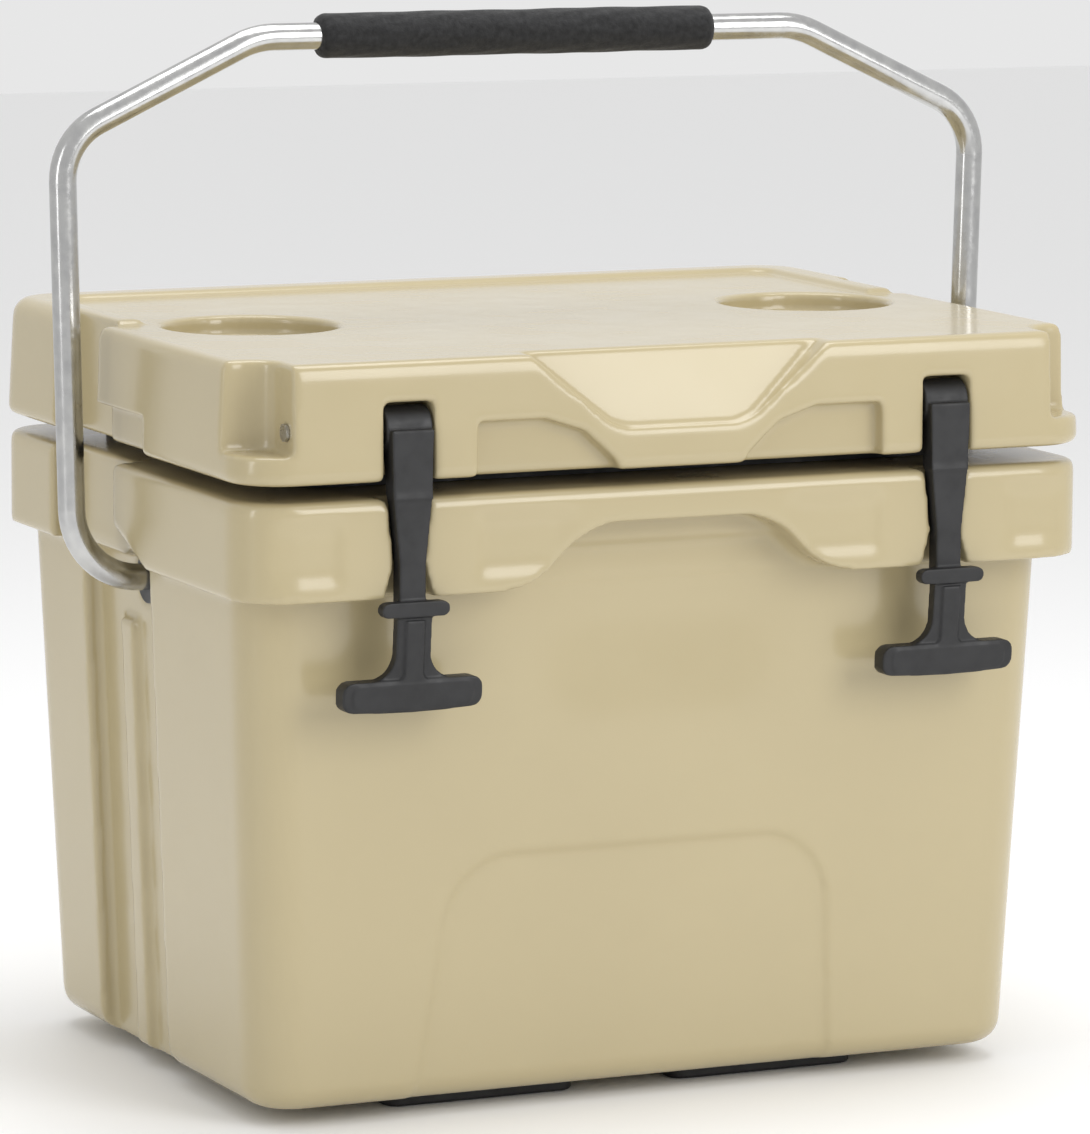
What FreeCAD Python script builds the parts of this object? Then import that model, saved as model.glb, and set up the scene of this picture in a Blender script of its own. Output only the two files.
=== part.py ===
import FreeCAD, Part
import math
import os
import re

import Sketcher

# Cooler chest, 16 quart class. Millimetres, +Z up, front towards -Y, standing on Z = 0.
# Every size that can be set by itself is written once, in SIZES, and lives in the sheet.

Vector = FreeCAD.Vector
Rotation = FreeCAD.Rotation
Placement = FreeCAD.Placement

SIZES = {
    # overall
    "lid_width": 430,
    "lid_depth": 322,
    "closed_height": 355,
    "foot_height": 7.5,
    "corner_radius": 26,
    "draft_angle": 2.3,
    # tub
    "collar_inset": 1,
    "collar_height": 45,
    "collar_edge": 4,
    "side_overhang": 11,
    "front_overhang": 22,
    "rear_overhang": 11,
    "tub_corner_radius": 24,
    "tub_bottom_edge": 12,
    "side_wall": 36,
    "end_wall": 34,
    "floor_thickness": 38,
    "skin": 3.5,
    "cavity_radius": 16,
    "cavity_edge": 12,
    # collar
    "seal_gap": 7.5,
    "slot_top_half": 10.5,
    "slot_neck_half": 7.2,
    "slot_foot_half": 11,
    "slot_depth": 13,
    "slot_neck_rise": 16,
    "arch_foot_half": 73,
    "arch_top_half": 47.5,
    "arch_rise": 29,
    "arch_depth": 20,
    "arch_round": 42,
    "recess_front": 5,
    "recess_rear": 83,
    "recess_depth": 10,
    "recess_slope_rise": 16,
    "recess_slope_run": 40,
    # side channel in the tub
    "channel_front": -15,
    "channel_rear": 68,
    "channel_depth": 8,
    "channel_rib_width": 16,
    "channel_rib_rise": 4,
    # front panel
    "panel_depth": 1.8,
    "panel_foot_left": 120,
    "panel_foot_right": 95,
    "panel_top_left": 102,
    "panel_top_right": 89,
    "panel_height": 122,
    "panel_round": 36,
    # lid
    "lid_height": 56.5,
    "lid_top_edge": 9,
    "lid_bottom_edge": 4,
    "lid_rim": 2.5,
    "lid_rim_width": 24,
    "plug_depth": 15,
    "plug_clearance": 3,
    "gasket_width": 10,
    "gasket_clearance": 0.4,
    "cup_spacing": 290,
    "cup_radius": 41,
    "cup_depth": 10,
    "cup_y": 4,
    "corner_notch_inset": 24,
    "corner_notch_length": 31,
    "corner_ledge": 13.5,
    "corner_notch_round": 14,
    "dish_top_half": 78,
    "dish_foot_half": 33,
    "dish_lip": 19,
    "dish_top_setback": 18,
    "dish_foot_setback": 4,
    "dish_round": 22,
    "lid_arch_outer": 102,
    "lid_arch_flat": 68,
    "lid_arch_inner": 33.5,
    "lid_arch_rise": 25,
    "lid_arch_foot": 4.5,
    "lid_arch_depth": 9,
    "side_notch_front": 24,
    "side_notch_rear": 78,
    "side_notch_depth": 12,
    "side_arch_front": -35,
    "side_arch_rise": 18,
    "side_arch_depth": 8,
    # latches
    "latch_spacing": 271,
    "latch_pivot_inset": 11,
    "latch_pivot_drop": 33,
    "lid_slot_half": 12.2,
    "lid_slot_round": 5,
    "latch_barrel_radius": 10,
    "latch_barrel_half": 11.2,
    "latch_strap_reach": 3.5,
    "latch_strap_thickness": 9.5,
    "latch_strap_top_half": 9.3,
    "latch_strap_foot_half": 6.4,
    "shoulder_half": 16.5,
    "shoulder_drop": 109.5,
    "shoulder_height": 7,
    "shoulder_gap": 0.7,
    "shoulder_reach": 7,
    "stem_half": 8.6,
    "tee_reach": 4.5,
    "tee_half": 34,
    "tee_drop": 145,
    "tee_height": 15,
    "tee_inset": 7.5,
    "tee_round": 5,
    "latch_pin_radius": 2.5,
    "latch_pin_head_radius": 4,
    "latch_pin_head": 1.5,
    "latch_pin_end": 112,
    # hinge
    "hinge_inset": 3,
    "knuckle_radius": 8,
    "knuckle_pitch": 44,
    "knuckle_width": 42,
    "knuckle_web_reach": 3.5,
    "knuckle_web_height": 18,
    "knuckle_clearance": 1.2,
    "hinge_rod_radius": 3,
    # handle
    "handle_y": 7,
    "handle_pivot_drop": 118.5,
    "tube_radius": 6.35,
    "tube_wall": 1.2,
    "leg_foot_gap": 17,
    "leg_top_gap": 22,
    "leg_top_rise": 86,
    "bar_inset": 74,
    "bar_rise": 131,
    "foot_bend": 34,
    "leg_bend": 30,
    "bar_bend": 42,
    "bush_wall": 3,
    "bush_length": 22,
    "bush_flange": 2,
    "bush_flange_radius": 12.5,
    "tube_engagement": 18,
    "grip_length": 203,
    "grip_radius": 11,
    "grip_shift": -8.5,
    # feet
    "foot_length": 96,
    "foot_width": 24,
    "foot_x": 73,
    "foot_front_inset": 69,
    "foot_rear_inset": 49,
    "screw_radius": 2,
    "screw_head_radius": 4,
    "screw_head": 2.5,
    "screw_length": 16,
    # fits
    "running_clearance": 0.08,
}

# Places that follow the overall sizes, worked out in the sheet.
PLACES = {
    "latch_pivot_y": "=-lid_depth / 2 + latch_pivot_inset",
    "latch_pivot_z": "=closed_height - latch_pivot_drop",
    "latch_strap_front": "=-lid_depth / 2 - latch_strap_reach",
    "shoulder_top": "=closed_height - shoulder_drop",
    "shoulder_back": "=-lid_depth / 2 - shoulder_gap",
    "shoulder_front": "=-lid_depth / 2 - shoulder_reach",
    "tee_front": "=-lid_depth / 2 - tee_reach",
    "tee_top": "=closed_height - tee_drop",
    "tee_back": "=-lid_depth / 2 + tee_inset",
    "hinge_y": "=lid_depth / 2 - hinge_inset",
    "knuckle_web_rear": "=lid_depth / 2 + knuckle_web_reach",
    "handle_pivot_z": "=closed_height - handle_pivot_drop",
    "leg_foot_half": "=lid_width / 2 + leg_foot_gap",
    "leg_top_half": "=lid_width / 2 + leg_top_gap",
    "leg_top_z": "=closed_height + leg_top_rise",
    "bar_half": "=lid_width / 2 - bar_inset",
    "bar_z": "=closed_height + bar_rise",
    "corner_notch_x": "=lid_width / 2 - corner_notch_inset",
    "corner_notch_y": "=-lid_depth / 2 + corner_notch_length",
    "foot_front_y": "=-lid_depth / 2 + foot_front_inset",
    "foot_rear_y": "=lid_depth / 2 - foot_rear_inset",
}

doc = FreeCAD.newDocument("CoolerChest")
sheet = doc.addObject("Spreadsheet::Sheet", "Sizes")
CELLS = {**SIZES, **PLACES}
for row, (alias, value) in enumerate(CELLS.items(), 1):
    sheet.set(f"A{row}", alias)
    sheet.set(f"B{row}", str(value))
    sheet.setAlias(f"B{row}", alias)
doc.recompute()

# Places that several pieces share, each written once in terms of the sheet's sizes.
LID_BOTTOM = "(closed_height - lid_height)"
COLLAR_TOP = f"({LID_BOTTOM} - seal_gap)"
COLLAR_BOTTOM = f"({COLLAR_TOP} - collar_height)"
TUB_HEIGHT = f"({COLLAR_BOTTOM} - foot_height)"
FRONT = "(-lid_depth / 2)"
REAR = "(lid_depth / 2)"
SIDE = "(lid_width / 2)"
SPREAD = f"({TUB_HEIGHT} * tan(draft_angle))"
TUB_TOP_HALF = f"({SIDE} - side_overhang)"
TUB_HALF = f"({TUB_TOP_HALF} - {SPREAD})"
TUB_FRONT = f"({FRONT} + front_overhang + {SPREAD})"
TUB_REAR = f"({REAR} - rear_overhang - {SPREAD})"
CAVITY_FLOOR = "(foot_height + floor_thickness)"
CAVITY_DEPTH = f"({COLLAR_TOP} - {CAVITY_FLOOR})"
CAVITY_SPREAD = f"({CAVITY_DEPTH} * tan(draft_angle))"
CAVITY_TOP_HALF = f"({TUB_TOP_HALF} - side_wall)"
CAVITY_TOP_FRONT = f"({FRONT} + front_overhang + end_wall)"
CAVITY_TOP_REAR = f"({REAR} - rear_overhang - end_wall)"
CHANNEL_TOP_X = f"({TUB_TOP_HALF} - channel_depth)"
CHANNEL_FOOT_X = f"({TUB_HALF} - channel_depth)"
DRAFT_RATE = f"({SPREAD} / {TUB_HEIGHT})"
SOCKET_X = f"({CHANNEL_FOOT_X} + (handle_pivot_z - foot_height) * {DRAFT_RATE})"
HINGE_Z = f"({COLLAR_TOP} + seal_gap / 2)"
LATCH_X = "(latch_spacing / 2)"
FAR = 60

ALIAS = re.compile(r"\b(" + "|".join(sorted(CELLS, key=len, reverse=True)) + r")\b")


def cells(text):
    """An expression in plain size names, as FreeCAD reads it from the sheet."""
    named = ALIAS.sub(r"Sizes.\1", str(text))
    return named.replace("tan(Sizes.draft_angle)", "tan(Sizes.draft_angle * 1deg)")


def number(text):
    """The present value of such an expression."""
    value = sheet.evalExpression(cells(text))
    return float(getattr(value, "Value", value))


def bind(item, **sizes):
    """Bind properties of an object to expressions: a double underscore stands for a dot."""
    for name, text in sizes.items():
        item.setExpression(name.replace("__", "."), cells(text))
    return item


def solid_box(name, x, y, z):
    """A box from pairs of (low, high) expressions."""
    item = doc.addObject("Part::Box", name)
    bind(item, Length=f"({x[1]}) - ({x[0]})", Width=f"({y[1]}) - ({y[0]})", Height=f"({z[1]}) - ({z[0]})")
    bind(item, Placement__Base__x=x[0], Placement__Base__y=y[0], Placement__Base__z=z[0])
    return item


def rod(name, radius, x, y, z):
    """A cylinder along X between a pair of x expressions, at (y, z)."""
    item = doc.addObject("Part::Cylinder", name)
    item.Placement = Placement(Vector(), Rotation(Vector(0, 1, 0), 90))
    bind(item, Radius=radius, Height=f"({x[1]}) - ({x[0]})")
    bind(item, Placement__Base__x=x[0], Placement__Base__y=y, Placement__Base__z=z)
    return item


def post(name, radius, x, y, z):
    """An upright cylinder between a pair of z expressions, at (x, y)."""
    item = doc.addObject("Part::Cylinder", name)
    bind(item, Radius=radius, Height=f"({z[1]}) - ({z[0]})")
    bind(item, Placement__Base__x=x, Placement__Base__y=y, Placement__Base__z=z[0])
    return item


def fuse(name, items):
    item = doc.addObject("Part::MultiFuse", name)
    item.Shapes = items
    return item


def common(name, items):
    item = doc.addObject("Part::MultiCommon", name)
    item.Shapes = items
    return item


def cut(name, base, tools):
    item = doc.addObject("Part::Cut", name)
    item.Base = base
    item.Tool = tools[0] if len(tools) == 1 else fuse(name + "_cutters", tools)
    return item


def body(name):
    return doc.addObject("PartDesign::Body", name)


def outline(owner, name, plane, points, offset="0"):
    """A closed sketch through points given as expression pairs, on one of the body's planes."""
    sketch = owner.newObject("Sketcher::SketchObject", name)
    support = [item for item in owner.Origin.OriginFeatures if item.Role == plane + "_Plane"][0]
    sketch.AttachmentSupport = [(support, "")]
    sketch.MapMode = "FlatFace"
    bind(sketch, AttachmentOffset__Base__z=offset)
    places = [Vector(number(x), number(y), 0) for x, y in points]
    count = len(places)
    for index in range(count):
        sketch.addGeometry(Part.LineSegment(places[index], places[(index + 1) % count]), False)
    for index in range(count):
        sketch.addConstraint(Sketcher.Constraint("Coincident", index, 2, (index + 1) % count, 1))
    for index, (x, y) in enumerate(points):
        for kind, text, value in (("DistanceX", x, places[index].x), ("DistanceY", y, places[index].y)):
            rule = sketch.addConstraint(Sketcher.Constraint(kind, -1, 1, index, 1, value))
            sketch.setExpression(f"Constraints[{rule}]", cells(text))
    return sketch


def rectangle(x, y):
    return [(x[0], y[0]), (x[1], y[0]), (x[1], y[1]), (x[0], y[1])]


def pad(owner, name, sketch, length, taper=None, both=False):
    item = owner.newObject("PartDesign::Pad", name)
    item.Profile = sketch
    bind(item, Length=length)
    if both:
        item.SideType = "Symmetric"
    if taper:
        bind(item, TaperAngle=taper)
    doc.recompute()
    return item


def pocket(owner, name, sketch, length, reverse=False, both=False):
    """A pocket that has to remove material."""
    before = owner.Shape.Volume
    item = owner.newObject("PartDesign::Pocket", name)
    item.Profile = sketch
    item.Reversed = reverse
    if both:
        item.SideType = "Symmetric"
    bind(item, Length=length)
    doc.recompute()
    if item.Shape.Volume > before - 1:
        raise RuntimeError(f"{name} removes nothing")
    return item


def round_edges(owner, name, radius, wanted):
    """Round the edges of the body's tip that the test picks by their ends' positions."""
    base = owner.Tip
    names = [f"Edge{i}" for i, edge in enumerate(base.Shape.Edges, 1) if wanted(edge)]
    if not names:
        raise RuntimeError(f"{name} finds no edge")
    item = owner.newObject("PartDesign::Fillet", name)
    item.Base = (base, names)
    bind(item, Radius=radius)
    doc.recompute()
    return item


def upright(edge):
    """An edge that climbs: a corner of a tapered block."""
    box = edge.BoundBox
    return box.ZLength > 3 * max(box.XLength, box.YLength)


def level_at(height):
    def test(edge):
        box = edge.BoundBox
        return box.ZLength < 0.01 and abs(box.ZMin - number(height)) < 0.01
    return test


def along_y(edge):
    box = edge.BoundBox
    return box.YLength > 5 and box.XLength < 0.01 and box.ZLength < 0.01


def mirrored(name, item):
    """The same piece on the other side of the centre plane X = 0."""
    copy = doc.addObject("Part::Mirroring", name)
    copy.Source = item
    copy.Normal = Vector(1, 0, 0)
    return copy


def tapered_block(name, x, y, z, radius, edge_radius=None, edge_height=None, angle="draft_angle"):
    """A drafted block that widens (or narrows) upwards, with rounded corners."""
    owner = body(name)
    sketch = outline(owner, name + "_plan", "XY", rectangle(x, y), z[0])
    pad(owner, name + "_pad", sketch, f"({z[1]}) - ({z[0]})", taper=angle)
    round_edges(owner, name + "_corners", radius, upright)
    if edge_radius:
        round_edges(owner, name + "_edge", edge_radius, level_at(edge_height))
    return owner


# ---------------------------------------------------------------- tub and collar

def tub_block(name, inset):
    """The tub's drafted outside, moved in on the front by an inset."""
    return tapered_block(
        name,
        (f"-{TUB_HALF}", TUB_HALF),
        (f"{TUB_FRONT} + {inset}", TUB_REAR),
        ("foot_height", f"{COLLAR_BOTTOM} + collar_edge * 2"),
        "tub_corner_radius",
        "tub_bottom_edge",
        "foot_height",
    )


def collar_block():
    inset_side = f"({SIDE} - collar_inset)"
    owner = body("collar")
    plan = rectangle((f"-{inset_side}", inset_side), (f"{FRONT} + collar_inset", f"{REAR} - collar_inset"))
    pad(owner, "collar_pad", outline(owner, "collar_plan", "XY", plan, COLLAR_BOTTOM), "collar_height")
    round_edges(owner, "collar_corners", "corner_radius", upright)
    arch = [
        ("-arch_foot_half", f"{COLLAR_BOTTOM} - 1"),
        ("-arch_foot_half", COLLAR_BOTTOM),
        ("-arch_top_half", f"{COLLAR_BOTTOM} + arch_rise"),
        ("arch_top_half", f"{COLLAR_BOTTOM} + arch_rise"),
        ("arch_foot_half", COLLAR_BOTTOM),
        ("arch_foot_half", f"{COLLAR_BOTTOM} - 1"),
    ]
    depth = f"{FRONT} + collar_inset + arch_depth"
    sketch = outline(owner, "collar_arch", "XZ", arch, f"-({depth})")
    pocket(owner, "collar_arch_cut", sketch, f"arch_depth + {FAR}", reverse=True)
    top = number(f"{COLLAR_BOTTOM} + arch_rise")
    round_edges(owner, "collar_arch_top", "arch_round",
                lambda e: along_y(e) and abs(e.BoundBox.ZMin - top) < 0.1)
    foot = number(COLLAR_BOTTOM)
    round_edges(owner, "collar_arch_foot", "arch_round",
                lambda e: along_y(e) and abs(e.BoundBox.ZMin - foot) < 0.1
                and abs(abs(e.BoundBox.XMin) - number("arch_foot_half")) < 0.1)
    round_edges(owner, "collar_rim", "collar_edge", level_at(COLLAR_TOP))
    return owner


def latch_slot_cutter():
    """The keyhole-sided slot for the right-hand latch strap, open to the front."""
    owner = body("collar_slot")
    neck = f"{COLLAR_BOTTOM} + slot_neck_rise"
    shape = [
        (f"{LATCH_X} - slot_foot_half", f"{COLLAR_BOTTOM} - 1"),
        (f"{LATCH_X} - slot_foot_half", f"{COLLAR_BOTTOM} + 2"),
        (f"{LATCH_X} - slot_neck_half", neck),
        (f"{LATCH_X} - slot_top_half", f"{COLLAR_TOP} + 1"),
        (f"{LATCH_X} + slot_top_half", f"{COLLAR_TOP} + 1"),
        (f"{LATCH_X} + slot_neck_half", neck),
        (f"{LATCH_X} + slot_foot_half", f"{COLLAR_BOTTOM} + 2"),
        (f"{LATCH_X} + slot_foot_half", f"{COLLAR_BOTTOM} - 1"),
    ]
    sketch = outline(owner, "collar_slot_shape", "XZ", shape, f"-({FRONT} + slot_depth)")
    pad(owner, "collar_slot_pad", sketch, f"slot_depth + {FAR}")
    return owner


def side_recess_cutter():
    """The recess in the right side of the collar, with its sloping front foot."""
    owner = body("side_recess")
    shape = [
        ("recess_front", f"{COLLAR_TOP} + 1"),
        ("recess_front", f"{COLLAR_BOTTOM} + recess_slope_rise"),
        ("recess_front - recess_slope_run", f"{COLLAR_BOTTOM}"),
        ("recess_front - recess_slope_run", f"{COLLAR_BOTTOM} - 1"),
        ("recess_rear", f"{COLLAR_BOTTOM} - 1"),
        ("recess_rear", f"{COLLAR_TOP} + 1"),
    ]
    sketch = outline(owner, "side_recess_shape", "YZ", shape, f"{SIDE} - collar_inset - recess_depth")
    pad(owner, "side_recess_pad", sketch, f"recess_depth + {FAR}")
    return owner


def channel_cutter():
    """The drafted upright channel in the right side of the tub, with its rib left standing."""
    owner = body("side_channel")
    shape = [
        (CHANNEL_TOP_X, COLLAR_BOTTOM),
        (f"{CHANNEL_FOOT_X} - foot_height * {DRAFT_RATE}", "0"),
        (f"{TUB_TOP_HALF} + {FAR}", "0"),
        (f"{TUB_TOP_HALF} + {FAR}", COLLAR_BOTTOM),
    ]
    sketch = outline(owner, "side_channel_shape", "XZ", shape, "-channel_rear")
    pad(owner, "side_channel_pad", sketch, "channel_rear - channel_front")
    rib_y = "((channel_front + channel_rear) / 2)"
    rib = [
        (f"{CHANNEL_TOP_X} - 1", f"{COLLAR_BOTTOM} - recess_slope_rise * 2"),
        (f"{CHANNEL_FOOT_X} - 1", "-1"),
        (f"{CHANNEL_FOOT_X} + channel_rib_rise - foot_height * {DRAFT_RATE}", "-1"),
        (f"{CHANNEL_TOP_X} + channel_rib_rise - recess_slope_rise * 2 * {DRAFT_RATE}",
         f"{COLLAR_BOTTOM} - recess_slope_rise * 2"),
    ]
    sketch = outline(owner, "side_channel_rib", "XZ", rib, f"-({rib_y} + channel_rib_width / 2)")
    pocket(owner, "side_channel_rib_cut", sketch, "channel_rib_width", reverse=True)
    return owner


def front_panel_cutter(inset_tub):
    """What lies in front of the inset tub inside the panel's outline."""
    owner = body("panel_outline")
    shape = [
        ("-panel_foot_left", "0"),
        ("-panel_top_left", "panel_height"),
        ("panel_top_right", "panel_height"),
        ("panel_foot_right", "0"),
    ]
    sketch = outline(owner, "panel_shape", "XZ", shape, f"-({TUB_FRONT} + {FAR})")
    pad(owner, "panel_pad", sketch, f"{FAR} * 2")
    top = number("panel_height")
    round_edges(owner, "panel_round", "panel_round",
                lambda e: along_y(e) and abs(e.BoundBox.ZMin - top) < 0.1)
    return cut("panel_cutter", owner, [inset_tub])


def cavity():
    """The ice cavity, open through the collar's top."""
    return tapered_block(
        "cavity",
        (f"-({CAVITY_TOP_HALF} - {CAVITY_SPREAD})", f"{CAVITY_TOP_HALF} - {CAVITY_SPREAD}"),
        (f"{CAVITY_TOP_FRONT} + {CAVITY_SPREAD}", f"{CAVITY_TOP_REAR} - {CAVITY_SPREAD}"),
        (CAVITY_FLOOR, f"{COLLAR_TOP} + 2"),
        "cavity_radius",
        "cavity_edge",
        CAVITY_FLOOR,
    )


def knuckle(name, position, rises):
    """One hinge knuckle with its web, from the collar (rises False) or from the lid."""
    x = f"(knuckle_pitch * {position})"
    ends = (f"{x} - knuckle_width / 2", f"{x} + knuckle_width / 2")
    barrel = rod(name + "_barrel", "knuckle_radius", ends, "hinge_y", HINGE_Z)
    web_z = (f"{HINGE_Z} - knuckle_web_height", HINGE_Z)
    if rises:
        web_z = (HINGE_Z, f"{HINGE_Z} + knuckle_web_height")
    web = solid_box(name + "_web", ends, ("hinge_y - knuckle_radius", "knuckle_web_rear"), web_z)
    return fuse(name, [barrel, web])


def knuckle_room(name, position):
    """The round cut that lets the other side's knuckle turn."""
    x = f"(knuckle_pitch * {position})"
    ends = (f"{x} - knuckle_pitch / 2", f"{x} + knuckle_pitch / 2")
    return rod(name, "knuckle_radius + knuckle_clearance", ends, "hinge_y", HINGE_Z)


BODY_KNUCKLES = (-3, -1, 1, 3)
LID_KNUCKLES = (-2, 0, 2)
HINGE_HALF = "(knuckle_pitch * 3.5)"
SOCKET_RADIUS = "(tube_radius + running_clearance + bush_wall + running_clearance)"
FEET = {
    "foot_front_left": ("-foot_x", "foot_front_y"),
    "foot_front_right": ("foot_x", "foot_front_y"),
    "foot_rear_left": ("-foot_x", "foot_rear_y"),
    "foot_rear_right": ("foot_x", "foot_rear_y"),
}


def sockets(name, extra):
    """The two blind bores for the handle's pivot bushes, or the room round them."""
    inner = f"({SOCKET_X} - bush_length - {extra})"
    outer = f"({SIDE} + {FAR})"
    radius = f"{SOCKET_RADIUS} + {extra}"
    right = rod(name + "_right", radius, (inner, outer), "handle_y", "handle_pivot_z")
    left = rod(name + "_left", radius, (f"-{outer}", f"-{inner}"), "handle_y", "handle_pivot_z")
    return [left, right]


def flange_seats():
    """Shallow seats that let the bush flanges turn flush with the channel floor."""
    inner = f"({SOCKET_X} - bush_flange)"
    outer = f"({SIDE} + {FAR})"
    radius = "bush_flange_radius + running_clearance * 4"
    right = rod("flange_seat_right", radius, (inner, outer), "handle_y", "handle_pivot_z")
    left = rod("flange_seat_left", radius, (f"-{outer}", f"-{inner}"), "handle_y", "handle_pivot_z")
    return [left, right]


def body_foam_core():
    """Insulation between the tub's skin and the cavity's skin."""
    outer = tapered_block(
        "foam_outer",
        (f"-({CHANNEL_FOOT_X} - skin)", f"{CHANNEL_FOOT_X} - skin"),
        (f"{TUB_FRONT} + skin + panel_depth", f"{TUB_REAR} - skin"),
        ("foot_height + skin", f"{COLLAR_TOP} - skin"),
        "tub_corner_radius - skin",
    )
    inner = tapered_block(
        "foam_inner",
        (f"-({CAVITY_TOP_HALF} - {CAVITY_SPREAD} + skin)", f"{CAVITY_TOP_HALF} - {CAVITY_SPREAD} + skin"),
        (f"{CAVITY_TOP_FRONT} + {CAVITY_SPREAD} - skin", f"{CAVITY_TOP_REAR} - {CAVITY_SPREAD} + skin"),
        (f"{CAVITY_FLOOR} - skin", f"{COLLAR_TOP} + 2"),
        "cavity_radius + skin",
    )
    bosses = [
        post(name + "_boss", "screw_head_radius + skin", x, y,
             ("foot_height", "foot_height + screw_length + skin"))
        for name, (x, y) in FEET.items()
    ]
    return cut("body_foam_core", outer, [inner] + sockets("socket_boss", "skin") + bosses)


def body_shell(foam):
    """The one-piece moulded skin: tub, collar, hinge knuckles and sockets, round the foam."""
    inset_tub = tub_block("tub_inset", "panel_depth")
    outside = cut("tub_with_panel", tub_block("tub", "0"), [front_panel_cutter(inset_tub)])
    slot = latch_slot_cutter()
    recess = side_recess_cutter()
    channel = channel_cutter()
    collar = cut("collar_cut", collar_block(), [
        slot, mirrored("collar_slot_left", slot),
        recess, mirrored("side_recess_left", recess),
    ] + [knuckle_room(f"collar_room_{i}", i) for i in LID_KNUCKLES])
    tub = cut("tub_cut", outside, [channel, mirrored("side_channel_left", channel)])
    knuckles = [knuckle(f"body_knuckle_{i + 3}", i, False) for i in BODY_KNUCKLES]
    whole = fuse("body_outside", [tub, collar] + knuckles)
    rod_bore = rod("body_rod_bore", "hinge_rod_radius", (f"-{HINGE_HALF}", HINGE_HALF), "hinge_y", HINGE_Z)
    screw_holes = [
        post(name + "_hole", "screw_radius", x, y, ("0", "screw_head + screw_length"))
        for name, (x, y) in FEET.items()
    ]
    return cut("body_shell", whole, [foam, cavity(), rod_bore] + sockets("socket", "0") + flange_seats()
               + screw_holes)


# ---------------------------------------------------------------- feet, screws, rod

def foot(name, x, y):
    """A rubber pad with rounded ends and a counterbored hole for its screw."""
    owner = body(name)
    plan = rectangle((f"{x} - foot_length / 2", f"{x} + foot_length / 2"),
                     (f"{y} - foot_width / 2", f"{y} + foot_width / 2"))
    pad(owner, name + "_pad", outline(owner, name + "_plan", "XY", plan), "foot_height")
    round_edges(owner, name + "_ends", "foot_width / 3", upright)
    bottom = level_at("0")
    round_edges(owner, name + "_edge", "foot_height / 5", bottom)
    bores = [
        post(name + "_shank", "screw_radius", x, y, ("-1", "foot_height + 1")),
        post(name + "_head", "screw_head_radius", x, y, ("-1", "screw_head * 1.5")),
    ]
    return cut(name + "_bored", owner, bores)


def foot_screws():
    parts = []
    for name, (x, y) in FEET.items():
        head = "screw_head * 1.5"
        parts.append(post(name + "_screw_shank", "screw_radius", x, y, (head, "screw_head + screw_length")))
        parts.append(post(name + "_screw_head", "screw_head_radius", x, y, ("screw_head * 0.5", head)))
    return fuse("foot_screws_all", parts)


def hinge_rod():
    return rod("hinge_rod_bar", "hinge_rod_radius", (f"-{HINGE_HALF}", HINGE_HALF), "hinge_y", HINGE_Z)


# ---------------------------------------------------------------- handle

def pivot_bush(name, sign):
    """A flanged plastic bush on the pivot axis, its flange level with the channel floor."""
    outer = "tube_radius + running_clearance + bush_wall"
    face = SOCKET_X
    flange = [f"{face} - bush_flange", face]
    sleeve = [f"{face} - bush_length + 0.5", face]
    if sign < 0:
        flange = [f"-({flange[1]})", f"-({flange[0]})"]
        sleeve = [f"-({sleeve[1]})", f"-({sleeve[0]})"]
    whole = fuse(name + "_whole", [
        rod(name + "_sleeve", outer, sleeve, "handle_y", "handle_pivot_z"),
        rod(name + "_flange", "bush_flange_radius", flange, "handle_y", "handle_pivot_z"),
    ])
    bore = rod(name + "_bore", "tube_radius + running_clearance", sleeve, "handle_y", "handle_pivot_z")
    return cut(name + "_bored", whole, [bore])


def bent_path(points, radii):
    """Straight runs through the points, joined by tangent arcs of the given radii."""
    edges = []
    start = points[0]
    for index in range(1, len(points) - 1):
        corner = points[index]
        before = (corner - points[index - 1]).normalize()
        after = (points[index + 1] - corner).normalize()
        turn = before.getAngle(after)
        reach = radii[index - 1] * math.tan(turn / 2)
        leave = corner - before * reach
        join = corner + after * reach
        bisector = (after - before).normalize()
        middle = corner + bisector * (radii[index - 1] / math.cos(turn / 2) - radii[index - 1])
        edges.append(Part.LineSegment(start, leave).toShape())
        edges.append(Part.Arc(leave, middle, join).toShape())
        start = join
    edges.append(Part.LineSegment(start, points[-1]).toShape())
    return Part.Wire(edges)


def handle_tube():
    """The bent tube: no workbench feature bends a ring along tangent arcs, so Part sweeps it."""
    y = number("handle_y")
    pivot_z = number("handle_pivot_z")
    end_x = number(f"{SOCKET_X} - tube_engagement")
    half = [
        Vector(end_x, y, pivot_z),
        Vector(number("leg_foot_half"), y, pivot_z),
        Vector(number("leg_top_half"), y, number("leg_top_z")),
        Vector(number("bar_half"), y, number("bar_z")),
    ]
    points = half + [Vector(-p.x, p.y, p.z) for p in reversed(half)]
    bends = [number("foot_bend"), number("leg_bend"), number("bar_bend")]
    path = bent_path(points, bends + bends[::-1])
    radius = number("tube_radius")
    ring = [Part.makeCircle(r, points[0], Vector(1, 0, 0)) for r in (radius, radius - number("tube_wall"))]
    swept = []
    for circle in ring:
        pipe = Part.BRepOffsetAPI.MakePipeShell(path)
        pipe.add(Part.Wire(circle))
        pipe.build()
        pipe.makeSolid()
        swept.append(pipe.shape())
    item = doc.addObject("Part::Feature", "handle_tube_bent")
    item.Shape = swept[0].cut(swept[1])
    item.Placement = Placement()
    return item


def handle_grip():
    """The foam sleeve on the top bar, slid a little to one side."""
    ends = ("grip_shift - grip_length / 2", "grip_shift + grip_length / 2")
    sleeve = rod("grip_sleeve", "grip_radius", ends, "handle_y", "bar_z")
    bore = rod("grip_bore", "tube_radius", ends, "handle_y", "bar_z")
    return cut("grip_bored", sleeve, [bore])


# ---------------------------------------------------------------- lid

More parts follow.
